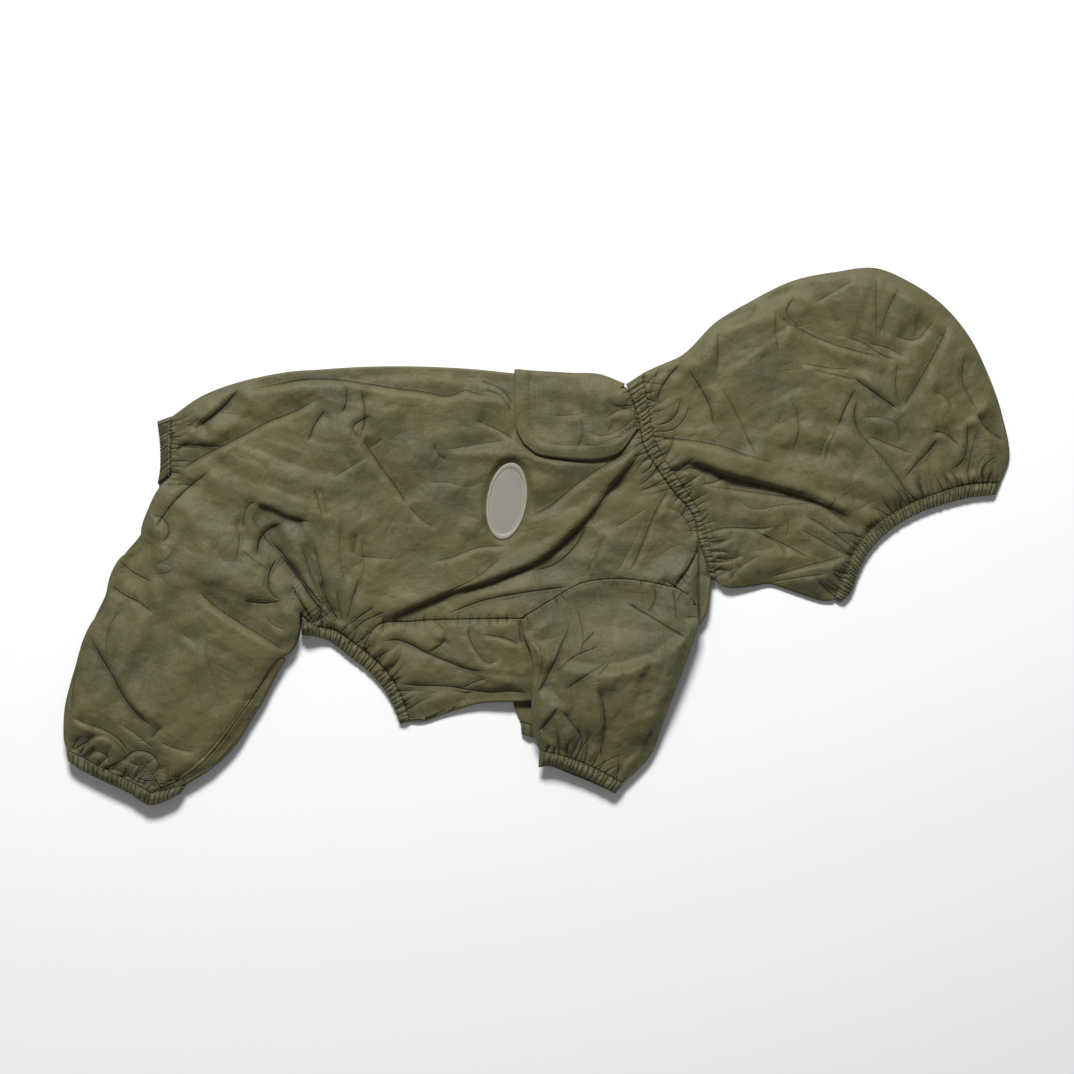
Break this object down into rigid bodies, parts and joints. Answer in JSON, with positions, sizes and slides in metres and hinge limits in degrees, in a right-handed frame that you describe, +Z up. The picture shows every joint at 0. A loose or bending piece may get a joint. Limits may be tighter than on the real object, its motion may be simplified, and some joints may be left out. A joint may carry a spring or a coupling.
{
  "type": "dog raincoat",
  "caption": "Hooded dog raincoat with sleeves and trouser legs in thin crinkled olive taffeta, laid flat on its side, with gathered elastic bands, a leash-hole flap and a plain oval badge.",
  "frame": {"origin": "middle of the whole coat's bounding box, on the flat underside it rests on", "axes": "+X from the tail end to the hood, +Y from the belly to the back, +Z up from the table; the coat's right side is uppermost"},
  "size_m": [0.529, 0.3003, 0.0152],
  "materials": {
    "shell_taffeta": "thin olive coated taffeta, soft sheen",
    "band_taffeta": "the same taffeta gathered over elastic",
    "badge_fabric": "grey reflective fabric with a stitched rim"
  },
  "bodies": {
    "root": {"back_panel": "shell_taffeta", "chest_panel": "shell_taffeta", "hind_leg_inner_right": "shell_taffeta", "hind_leg_inner_left": "shell_taffeta", "sleeve_right": "shell_taffeta", "sleeve_left": "shell_taffeta", "hood_right": "shell_taffeta", "hood_left": "shell_taffeta", "neck_band": "band_taffeta", "face_band": "band_taffeta", "tail_band": "band_taffeta", "belly_band": "band_taffeta", "sleeve_cuff_right": "band_taffeta", "sleeve_cuff_left": "band_taffeta", "leg_cuff_right": "band_taffeta", "leg_cuff_left": "band_taffeta", "leash_flap": "shell_taffeta", "badge": "badge_fabric"}
  },
  "joints": []
}
